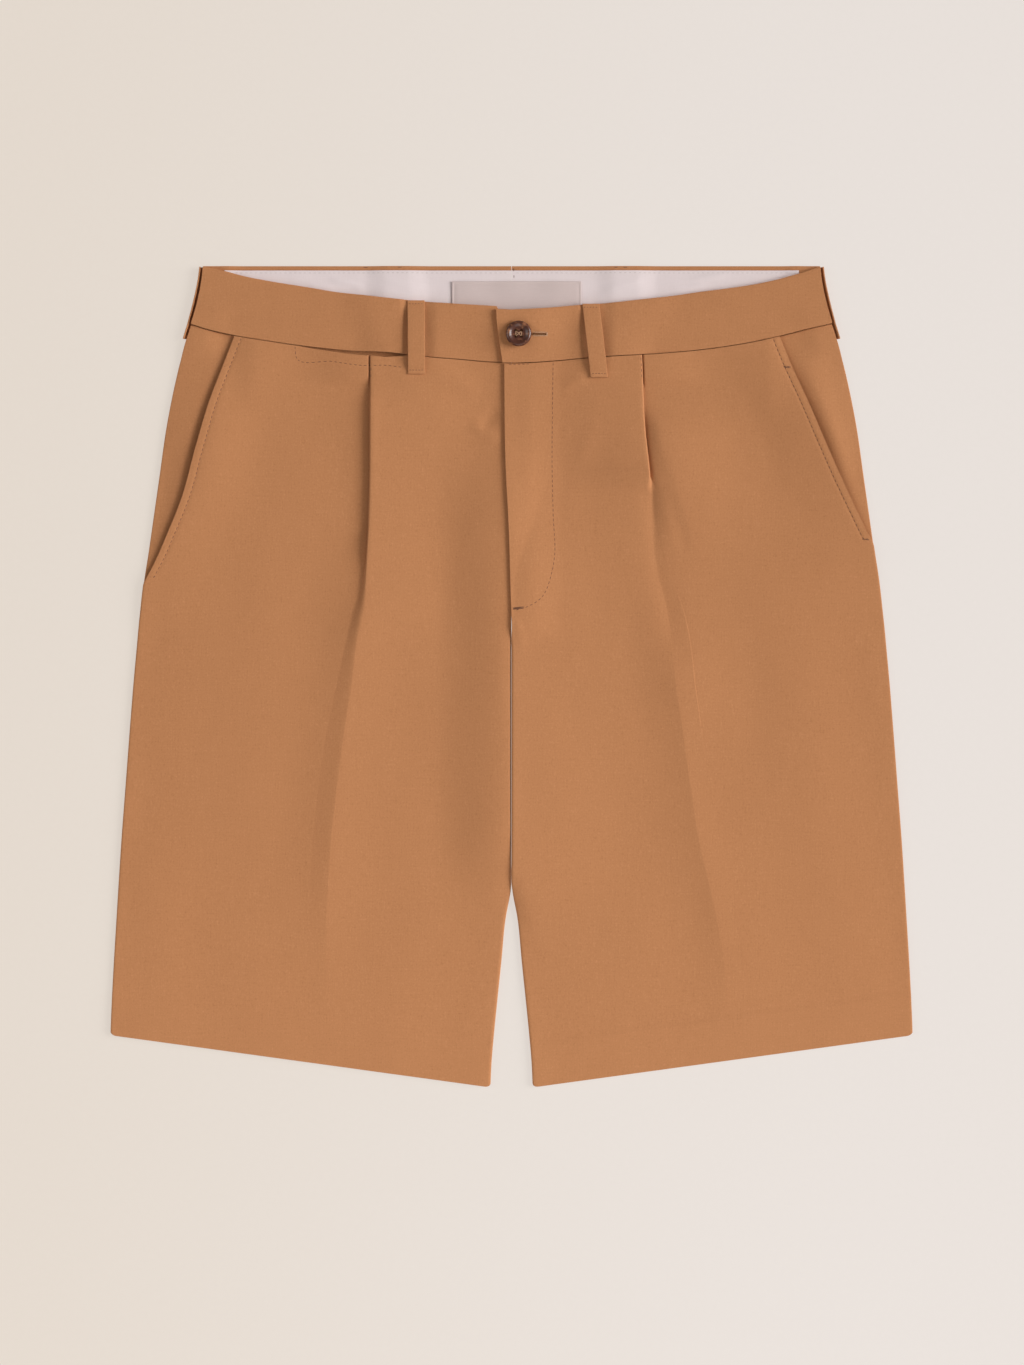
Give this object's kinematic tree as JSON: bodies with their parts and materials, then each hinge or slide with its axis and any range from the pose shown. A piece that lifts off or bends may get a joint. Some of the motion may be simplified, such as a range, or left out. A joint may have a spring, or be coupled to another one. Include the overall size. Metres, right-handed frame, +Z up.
{
  "type": "bermuda shorts",
  "caption": "Pleated bermuda shorts laid flat, front up, with slant pockets, belt loops, a buttoned waistband and a coin pocket slit.",
  "frame": {"origin": "under the middle of the laid garment's bounding box, on the surface that it lies on", "axes": "+Z up out of the surface, +Y from the hems to the waist, +X towards the wearer's left side"},
  "size_m": [0.5444, 0.5569, 0.0122],
  "materials": {
    "twill": "matte camel cotton twill with a fine flecked weave",
    "lining": "plain pale pinkish cotton",
    "label": "smooth greige woven satin, blank",
    "horn": "polished mottled dark brown horn"
  },
  "bodies": {
    "root": {"front_right": "twill", "front_left": "twill", "back_right": "twill", "back_left": "twill", "pocket_facing_right": "twill", "pocket_facing_left": "twill", "coin_pocket_facing": "twill", "waistband_front_right": "twill", "waistband_front_left": "twill", "waistband_back_right": "twill", "waistband_back_left": "twill", "waistband_lining_right": "lining", "waistband_lining_left": "lining", "label": "label", "belt_loop_front_right": "twill", "belt_loop_front_left": "twill", "belt_loop_side_right": "twill", "belt_loop_side_left": "twill", "belt_loop_back_right": "twill", "belt_loop_back_left": "twill", "button": "horn"}
  },
  "joints": []
}
